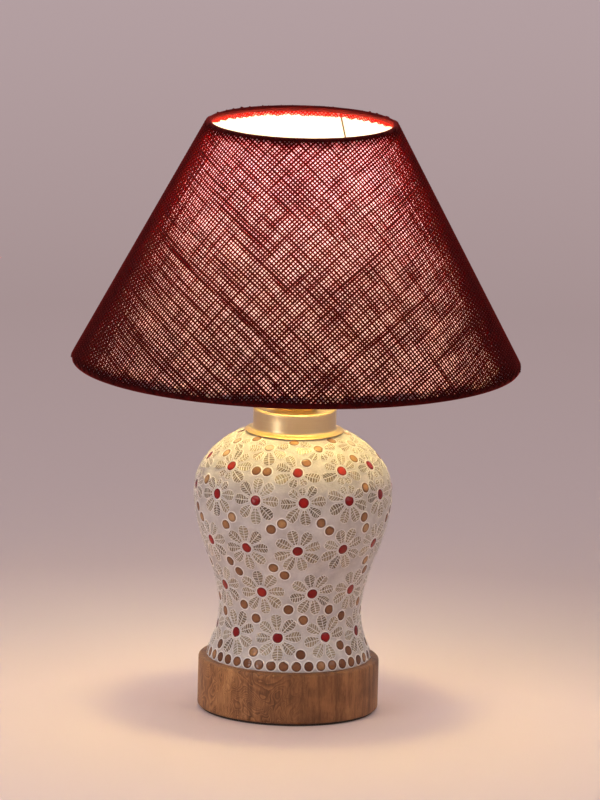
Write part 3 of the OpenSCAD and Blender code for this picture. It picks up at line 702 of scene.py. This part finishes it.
# raised grout: a midrib on each petal and a fillet round every disc
RV, RF = [], []
for site, f, L, bend in ridge_lines:
    base = len(RV)
    cc, cs = math.cos(math.radians(f)), math.sin(math.radians(f))
    stn = np.linspace(-0.3, L + 0.2, 6)
    for x in stn:
        for y, h in ((-0.30, 0.0), (-0.13, 0.36), (0.13, 0.36), (0.30, 0.0)):
            yy = y + bend * x ** 2 / L * 0.25
            X = x + petal_in
            RV.append((site, (X * cc - yy * cs, X * cs + yy * cc), h))
    for a in range(len(stn) - 1):
        for q in range(3):
            RF.append((base + a * 4 + q, base + (a + 1) * 4 + q, base + (a + 1) * 4 + q + 1, base + a * 4 + q + 1))
for site, f, L, bend in ridge_lines:
    base = len(RV)
    cc, cs = math.cos(math.radians(f)), math.sin(math.radians(f))
    w = half_w(L) * 0.99
    xo = np.array([0.02, 0.12, 0.25, 0.42, 0.58, 0.74, 0.88, 0.98]) * L
    wo = w_at(xo, L, w) + 0.30
    loop = np.concatenate([np.stack([xo, -wo], 1), np.stack([xo[::-1], wo[::-1]], 1)])
    loop[0, 0] -= 0.3
    loop[-1, 0] -= 0.3
    loop[7, 0] += 0.25
    loop[8, 0] += 0.25
    tg = np.roll(loop, -1, axis=0) - np.roll(loop, 1, axis=0)
    nm = np.stack([tg[:, 1], -tg[:, 0]], 1) / np.linalg.norm(tg, axis=1)[:, None]
    for k in range(16):
        for d, h in ((-0.27, 0.02), (-0.10, 0.30), (0.10, 0.30), (0.27, 0.0)):
            x, y = loop[k] + nm[k] * d
            yy = y + bend * x ** 2 / L * 0.25
            X = x + petal_in
            RV.append((site, (X * cc - yy * cs, X * cs + yy * cc), h))
    for k in range(16):
        k2 = (k + 1) % 16
        for q in range(3):
            RF.append((base + k * 4 + q, base + k2 * 4 + q, base + k2 * 4 + q + 1, base + k * 4 + q + 1))
for site, f, x0, sh, side, o, L, bend in ribs:
    base = len(RV)
    cc, cs = math.cos(math.radians(f)), math.sin(math.radians(f))
    for x, y in ((x0, side * 0.2), (x0 + sh * 0.5, side * o * 0.55), (x0 + sh, side * (o + 0.1))):
        for dx, h in ((-0.24, 0.0), (-0.09, 0.34), (0.09, 0.34), (0.24, 0.0)):
            X = x + dx + petal_in
            yy = y + bend * (X - petal_in) ** 2 / L * 0.25
            RV.append((site, (X * cc - yy * cs, X * cs + yy * cc), h))
    for a in range(2):
        for q in range(3):
            fc = (base + a * 4 + q, base + a * 4 + q + 1, base + (a + 1) * 4 + q + 1, base + (a + 1) * 4 + q)
            RF.append(fc if side > 0 else fc[::-1])
for site in reds + ambers + border:
    base = len(RV)
    n = 26
    r0 = site[2] - 0.05
    for q in range(n):
        a = 2 * math.pi * q / n
        for dr, h in ((-0.1, 0.02), (0.12, 0.34), (0.42, 0.36), (0.85, 0.02)):
            RV.append((site, ((r0 + dr) * math.cos(a), (r0 + dr) * math.sin(a)), h))
    for q in range(n):
        r2 = (q + 1) % n
        for k in range(3):
            RF.append((base + q * 4 + k, base + q * 4 + k + 1, base + r2 * 4 + k + 1, base + r2 * 4 + k))
sa = np.array([(g[0][0], g[0][1]) for g in RV])
uv = np.array([g[1] for g in RV])
hh = np.array([g[2] for g in RV])
s_all = np.clip(sa[:, 1] + uv[:, 1], 0.0, S_END)
m_all = (r_of(sa[:, 1]) + r_of(s_all)) / 2
RVX = on_body(sa[:, 0] + uv[:, 0] / m_all * RAD, s_all, hh)
rid = make("grout_ridges", RVX, RF, [M["grout_ridge"]])
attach(rid, "stand")


# ------------------------------------------------------------------ glass discs
def discs(name, lst, mat, replaced, seed):
    r = np.random.default_rng(seed)
    n = 28
    V, F, TI, RI = [], [], [], []
    for az, s, rad in lst:
        base = len(V)
        tilt, tdir = r.uniform(0, 0.05), r.uniform(0, 6.28)
        # tone varies at random from disc to disc, and is painted lighter higher up the body, as painted light where the
        # bulb's light falls
        tint = float(np.clip(0.75 * r.random() + 0.42 * (s / S_END) - 0.10, 0, 1))
        e = r.uniform(0.0, 0.05)
        chip = r.random() < 0.18
        chip_a = r.uniform(0, 6.28)
        a = np.arange(n) * 2 * math.pi / n
        rr = rad * 0.985 * (1 - e * (0.5 + 0.5 * np.cos(2 * a + tdir)))
        if chip:
            rr = np.minimum(rr, 0.80 * rad / np.maximum(np.cos(a - chip_a), 0.1))
        for k, h in ((1.0, -0.9), (1.0, 0.14), (0.93, 0.30), (0.72, 0.40), (0.4, 0.47)):
            x, y = rr * k * np.cos(a), rr * k * np.sin(a)
            hh = h + (tilt * (x * math.cos(tdir) + y * math.sin(tdir)) if h > 0 else 0)
            ssx = s + y
            m_ = (r_of(s) + r_of(ssx)) / 2
            pts = on_body(az + x / m_ * RAD, np.clip(ssx, 0, S_END), hh)
            V.extend(pts.tolist())
            TI.extend([tint] * n)
            RI.extend([k if h > 0 else 1.0] * n)
        V.append(on_body(az, s, 0.49).tolist())
        TI.append(tint)
        RI.append(0.0)
        for k in range(4):
            for q in range(n):
                q2 = (q + 1) % n
                F.append((base + k * n + q, base + k * n + q2, base + (k + 1) * n + q2, base + (k + 1) * n + q))
        c = base + 5 * n
        for q in range(n):
            F.append((base + 4 * n + q, base + 4 * n + (q + 1) % n, c))
    ob = make(name, V, F, [mat], attrs={"tint": TI, "rim": RI}, sharp=50)
    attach(ob, "stand")
    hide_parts(*replaced)
    return ob


discs("red_glass_discs", reds, M["red"], ["red_disc_tiles"], 3)
discs("amber_glass_discs", ambers, M["amber"], ["amber_disc_tiles"], 11)
discs("foot_border_discs", border, M["amber"], ["border_disc_tiles"], 5)

# ------------------------------------------------------------------ plinth
R = base_d / 2
prof = [(5.3, felt_t + 12.5), (32, felt_t + 12.5), (32, felt_t + 0.05), (R - 1.6, felt_t + 0.05), (R - 0.7, felt_t + 0.35), (R - 0.2, felt_t + 0.9),
        (R, felt_t + 1.8)]
prof += [(R, z) for z in np.linspace(felt_t + 4, base_h - 3, 8)]
prof += [(R - 0.05, base_h - 1.7), (R - 0.35, base_h - 0.8), (R - 0.9, base_h - 0.25), (R - 1.7, base_h - 0.02), (R - 5, base_h), (40, base_h), (5.3, base_h)]
plinth = revolve("turned_plinth", prof, 160, [M["wood"]], closed=True, sharp=40)
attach(plinth, "stand")
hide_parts("wood_base")

# ------------------------------------------------------------------ spun brass cap
cap_z = base_h + body_h - 1.2
cap_top = cap_z + 15.5
fr, dr, t = 33.5, 28.0, 0.8
prof = [(14.0, cap_top - 0.5), (14.1, cap_top - 0.15), (14.8, cap_top), (16, cap_top - 0.05), (19, cap_top - 0.4), (24.4, cap_top - 0.4), (25.4, cap_top - 0.1), (26.4, cap_top),
        (27.2, cap_top - 0.2), (27.9, cap_top - 0.8), (28.2, cap_top - 1.5), (28.1, cap_top - 2.2), (dr, cap_top - 2.8), (dr, cap_top - 6),
        (dr, cap_z + 4), (dr, cap_z + 2.6), (dr + 0.15, cap_z + 2.0), (dr + 0.5, cap_z + 1.45), (dr + 1.3, cap_z + 0.95), (dr + 3.2, cap_z + 0.6), (fr - 0.5, cap_z + 0.3),
        (fr, cap_z - 0.05), (fr - 0.25, cap_z - 0.4), (fr - 1.0, cap_z - 0.3), (dr + 1.4, cap_z + 0.1), (dr + 0.2, cap_z + 0.7), (dr - t, cap_z + 1.8),
        (dr - t, cap_top - 3), (dr - 1.5, cap_top - 1.6), (dr - 2.6, cap_top - 1.2), (5.4, cap_top - 1.2), (5.4, cap_top - 0.5)]
cap = revolve("spun_brass_cap", prof, 144, [M["brass"]], closed=True, sharp=60)
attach(cap, "stand")
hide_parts("brass_cap")

# ------------------------------------------------------------------ shade
rt, rb, shade_h = 63.5, 152.5, 167.0
hz = cap_top - 0.4
h_flange = hz + 28.5
z0 = h_flange + 1.6
z1 = z0 + shade_h
al = math.atan2(rb - rt, shade_h)
SL = math.hypot(rb - rt, shade_h)
sn, cn = math.sin(al), math.cos(al)
wr, cloth_t = 1.5, 0.9
wrap = wr + 0.05 + cloth_t / 2
wire_h, wire_s = -cloth_t / 2 - wrap, wrap + cloth_t / 2
RHO0 = rt / sn


def cone(theta, s, h):
    """Azimuth in radians from the front, s mm down the slope, h mm out of the cloth's face."""
    r = rt + s * sn + h * cn
    z = z1 - s * cn + h * sn
    return np.stack([r * np.sin(theta), -r * np.cos(theta), z], axis=-1)


SEAM = math.radians(158)


def weave(name, s_lo, s_hi, h0, amp, pitch, width, mat, seed, slub=True):
    """Over and under threads at 45 degrees in the unrolled cone, clipped to a band of the slope."""
    r = np.random.default_rng(seed)
    lo, hi = RHO0 + s_lo, RHO0 + s_hi
    n = int(hi * 1.02 / pitch * 1.0) + 4
    K, Mx = np.meshgrid(np.arange(-n, n + 1), np.arange(-n, n + 1), indexing="ij")
    # slow drift of each thread and a little unevenness of its spacing
    dk = np.cumsum(r.normal(0, 0.06, 2 * n + 1)) * 0.25 + r.normal(0, 0.09, 2 * n + 1)
    dm = np.cumsum(r.normal(0, 0.06, 2 * n + 1)) * 0.25 + r.normal(0, 0.09, 2 * n + 1)
    a = K * pitch + dk[:, None] + 0.35 * np.sin(Mx * 0.045 + 1.3 + K * 0.013) + 0.12 * np.sin(Mx * 0.31 + K * 0.5)
    bq = Mx * pitch + dm[None, :] + 0.35 * np.sin(K * 0.05 + 0.4 + Mx * 0.017) + 0.12 * np.sin(K * 0.27 + Mx * 0.45)
    c = math.sqrt(0.5)
    u, v = (a - bq) * c, (a + bq) * c          # v runs down the front
    rho = np.hypot(u, v)
    psi = np.arctan2(u, v)
    th_lo, th_hi = (SEAM - 2 * math.pi), SEAM
    psi_ok = (psi > th_lo * sn) & (psi < th_hi * sn)
    # beyond a half turn the unrolled sector wraps: shift by a full circle where it is needed
    psi2 = np.where(psi > th_hi * sn, psi - 2 * math.pi, psi)
    ok2 = (psi2 > th_lo * sn) & (psi2 < th_hi * sn)
    psi = np.where(psi_ok, psi, psi2)
    inside = (rho > lo) & (rho < hi) & (psi_ok | ok2)
    sgn = np.where((K + Mx) % 2 == 0, 1.0, -1.0)
    V, F, TI, ED = [], [], [], []
    total = 0
    for fam in (0, 1):
        size = 2 * n + 1
        w_line = np.clip(width * (1 + r.normal(0, 0.10, size)), width * 0.75, width * 1.3)
        tint_line = r.uniform(0, 1, size)
        if slub:
            thick = r.random(size) < 0.05
            w_line = np.where(thick, w_line * r.uniform(1.2, 1.5, size), w_line)
        # widths also swell and thin along each thread
        idx = np.arange(size)
        ww = np.zeros((size, size))
        for q in range(size):
            x = idx * 0.13 + r.uniform(0, 60)
            ww[q] = w_line[q] * (1 + 0.16 * np.sin(x * 1.0 + q) + 0.12 * np.sin(x * 2.7 + 2 * q) + 0.10 * r.normal(0, 1, size))
        if slub:
            for _ in range(size):
                q, c0, ln = r.integers(0, size), r.integers(0, size), r.integers(3, 14)
                bumpw = r.uniform(0.3, 0.8)
                ww[q] += width * bumpw * np.exp(-((idx - c0) / ln) ** 2)
        ww = np.clip(ww, width * 0.5, pitch * 0.93)
        if fam == 1:
            ww = ww.T
        d = (c, c) if fam == 1 else (-c, c)    # across direction handled below
        # family 0: fixed a, runs along b ; family 1: fixed b, runs along a
        along = (-c, c) if fam == 0 else (c, c)
        across = (c, c) if fam == 0 else (-c, c)
        hgt = h0 + amp * sgn * (1 if fam == 0 else -1)
        vid = -np.ones(inside.shape, dtype=np.int64)
        vid[inside] = total + 3 * np.arange(int(inside.sum()))
        uu, vv, hh, wq = u[inside], v[inside], hgt[inside], ww[inside]
        pp = psi[inside]
        ring = []
        for off, dh in ((-0.5, -0.36), (0.0, 0.42), (0.5, -0.36)):
            xu, xv = uu + across[0] * off * wq, vv + across[1] * off * wq
            rh = np.hypot(xu, xv)
            ps = np.arctan2(xu, xv)
            ps = ps + 2 * math.pi * np.round((pp - ps) / (2 * math.pi))
            ring.append(cone(ps / sn, rh - RHO0, hh + dh))
        pts = np.stack(ring, axis=1).reshape(-1, 3)
        V.append(pts)
        til = tint_line[:, None].repeat(size, 1) if fam == 0 else tint_line[None, :].repeat(size, 0)
        TI.append(np.repeat(til[inside], 3))
        ED.append(np.tile([1.0, 0.0, 1.0], int(inside.sum())))
        total += len(pts)
        nxt = (np.roll(vid, -1, axis=1), np.roll(vid, -1, axis=0))[fam]
        pn = (np.roll(psi, -1, axis=1), np.roll(psi, -1, axis=0))[fam]
        good = (vid >= 0) & (nxt >= 0) & (np.abs(pn - psi) < 0.5)
        if fam == 0:
            good[:, -1] = False
        else:
            good[-1, :] = False
        A, B = vid[good], nxt[good]
        for k in (0, 1):
            F.append(np.stack([A + k, A + k + 1, B + k + 1, B + k], axis=1))
    V = np.concatenate(V)
    F = np.concatenate(F)
    return make(name, V, F, [mat], attrs={"tint": np.concatenate(TI), "edge": np.concatenate(ED)})


cloth = weave("jute_weave", 1.7, SL - 1.7, -0.33, 0.26, 2.28, 1.36, M["jute"], 21)
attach(cloth, "shade")
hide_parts("shade_fabric")

fold_top = weave("inner_fold_top", 2.8, 9.4, -2.15, 0.15, 2.1, 1.02, M["fold"], 5, slub=False)
fold_bot = weave("inner_fold_bottom", SL - 10.5, SL - 3.4, -2.15, 0.15, 2.2, 1.3, M["fold"], 6, slub=False)
for o in (fold_top, fold_bot):
    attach(o, "shade")


def revolve_cone(name, sh, n, mat, wobble=0.0, seed=1, closed=True):
    r = np.random.default_rng(seed)
    ph = r.uniform(0, 6.28, 8)
    th = np.arange(n) * 2 * math.pi / n
    rowsv = []
    for k, (s, h) in enumerate(sh):
        w = wobble * (np.sin(17 * th + ph[0] + k * 0.3) + 0.7 * np.sin(41 * th + ph[1] - k * 0.2) + 0.5 * np.sin(89 * th + ph[2]))
        rowsv.append(cone(th, np.full(n, float(s)), h + w))
    V = np.array(rowsv)
    m = len(sh)
    F = []
    for k in range(m if closed else m - 1):
        l = (k + 1) % m
        for i in range(n):
            j = (i + 1) % n
            F.append((k * n + i, k * n + j, l * n + j, l * n + i))
    return make(name, V.reshape(-1, 3), F, [mat], sharp=60)


def hem_path(top):
    """Closed outline of the cloth that is wrapped round a wire ring."""
    pts = []
    rr_o, rr_i = wr + 0.34, wr + 0.05
    cs = wire_s
    outer = [(3.9, -0.62), (3.5, -0.42), (3.0, -0.40)]
    arc = [(cs - rr_o * math.sin(math.radians(a)), wire_h + rr_o * math.cos(math.radians(a))) for a in range(0, 231, 15)]
    tail = [(cs + 2.2, wire_h - 0.9), (cs + 2.5, wire_h - 0.3)]
    back = [(cs - rr_i * math.sin(math.radians(a)), wire_h + rr_i * math.cos(math.radians(a))) for a in range(225, -1, -25)]
    inner = [(3.4, -1.1), (3.9, -0.9)]
    pts = outer + arc + tail + back + inner
    return pts if top else [(SL - s, h) for s, h in pts[::-1]]


hem_t = revolve_cone("hem_top", hem_path(True), 288, M["hem"], 0.05, 3)
hem_b = revolve_cone("hem_bottom", hem_path(False), 384, M["hem"], 0.06, 4)
for o in (hem_t, hem_b):
    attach(o, "shade")

# the liner, one cut sheet whose ends overlap at the back
nl, ns = 240, 22
V, F = [], []
for i in range(nl + 1):
    th = SEAM - 2 * math.pi + i * (2 * math.pi + 0.055) / nl
    lift = 0.06 if i > nl - 4 else 0.0
    for k in range(ns + 1):
        s = 4.3 + (SL - 8.6) * k / ns
        wv = 0.05 * math.sin(9 * th + 0.02 * s) + 0.04 * math.sin(23 * th - 0.05 * s)
        V.append(cone(np.array(th), s, -1.28 + wv - 0.25 * (i > nl - 4) * 1.0).tolist())
for i in range(nl):
    for k in range(ns):
        a = i * (ns + 1) + k
        F.append((a, a + 1, a + ns + 2, a + ns + 1))
liner = make("liner_sheet", V, F, [M["liner"]])
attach(liner, "shade")
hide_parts("shade_liner")

# seam: the cloth's overlapping edge and its glued strip, inside and out
V, F = [], []
nn = 40
for k in range(nn + 1):
    s = 4.5 + (SL - 9) * k / nn
    r_here = rt + s * sn
    for off, h in ((-2.6, -0.25), (-1.4, 0.06), (0.2, 0.10), (1.6, 0.04), (2.4, -0.3)):
        V.append(cone(np.array(SEAM + (off + 0.15 * math.sin(k * 1.7)) / r_here), s, h).tolist())
for k in range(nn):
    for q in range(4):
        a = k * 5 + q
        F.append((a, a + 1, a + 6, a + 5))
seam = make("back_seam", V, F, [M["hem"]])
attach(seam, "shade")

V, F = [], []
for k in range(nn + 1):
    s = 4.6 + (SL - 9.2) * k / nn
    r_here = rt + s * sn
    for off, h in ((-0.7, -1.62), (-0.25, -1.74), (0.25, -1.74), (0.7, -1.62)):
        V.append(cone(np.array(SEAM - 0.02 + off / r_here), s, h).tolist())
for k in range(nn):
    for q in range(3):
        a = k * 4 + q
        F.append((a, a + 1, a + 5, a + 4))
tape = make("liner_seam_edge", V, F, [M["tape"]])
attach(tape, "shade")

# ------------------------------------------------------------------ floor, light and camera
m, nt, b, out = shader("floor_paper", Roughness=0.9)
ln = node(nt, "VectorMath", {"operation": "LENGTH"})
nt.links.new(coords(nt, (1, 1, 1), (0, 0.12, 0)), ln.inputs[0])
# painted light and shade: the floor is painted lighter and warmer round the lamp's foot, a painted pool of the bulb's
# light, greyer and darker behind it and lighter again far off
mr = node(nt, "MapRange", {"interpolation_type": "LINEAR"}, From_Min=0.0, From_Max=3.4)
nt.links.new(ln.outputs["Value"], mr.inputs["Value"])
nt.links.new(ramp(nt, mr.outputs["Result"], [(0.0, (0.85, 0.68, 0.65)), (0.07, (0.82, 0.66, 0.645)), (0.115, (0.66, 0.55, 0.55)), (0.17, (0.53, 0.43, 0.44)), (0.45, (0.46, 0.375, 0.38)), (1.0, (0.60, 0.51, 0.53))]), b.inputs["Base Color"])
bump(nt, b, noise(nt, coords(nt), 300, 3, 0.6), 0.05, 0.0003)
bpy.ops.mesh.primitive_plane_add(size=1)
floor = bpy.context.object
floor.name = "studio_floor"
for vv in floor.data.vertices:
    vv.co *= 40
floor.data.materials.append(m)


def area_light(name, loc, aim, sx, sy, power, color):
    d = bpy.data.lights.new(name, "AREA")
    d.shape = "RECTANGLE"
    d.size, d.size_y = sx, sy
    d.energy = power
    d.color = color
    o = bpy.data.objects.new(name, d)
    bpy.context.scene.collection.objects.link(o)
    o.location = loc
    o.rotation_euler = (Vector(aim) - Vector(loc)).to_track_quat("-Z", "Y").to_euler()
    return o


area_light("softbox_left", (-1.5, -1.7, 1.5), (0, 0, 0.15), 1.4, 1.2, 12, (1.0, 0.97, 0.97))
area_light("softbox_right", (1.9, -1.2, 1.1), (0, 0, 0.15), 1.0, 1.2, 5, (1.0, 0.97, 0.96))
area_light("softbox_backdrop", (0, 2.3, 2.3), (0, 2.3, 0), 7.0, 3.8, 44, (1.0, 0.93, 0.935))
area_light("strip_left", (-0.98, -0.86, 0.16), (0, 0, 0.06), 0.22, 0.34, 1.4, (1.0, 0.99, 1.0))

w = bpy.data.worlds.new("studio")
bpy.context.scene.world = w
w.use_nodes = True
w.node_tree.nodes["Background"].inputs["Color"].default_value = (0.60, 0.525, 0.52, 1)
w.node_tree.nodes["Background"].inputs["Strength"].default_value = 0.78

cam_d = bpy.data.cameras.new("cam")
cam = bpy.data.objects.new("cam", cam_d)
bpy.context.scene.collection.objects.link(cam)
DIST, ELEV, ROLL = 8.0, math.radians(11.5), math.radians(1.5)
aim = Vector((0.0032, 0, 0.2120))
cam.location = aim + Vector((0, -math.cos(ELEV), math.sin(ELEV))) * DIST
q = (aim - cam.location).to_track_quat("-Z", "Y")
cam.rotation_mode = "QUATERNION"
from mathutils import Quaternion
cam.rotation_quaternion = q @ Quaternion((0, 0, 1), ROLL)
cam_d.lens = 36 * DIST / 0.539
cam_d.clip_end = 50
bpy.context.scene.camera = cam
bpy.context.scene.view_settings.view_transform = "Standard"
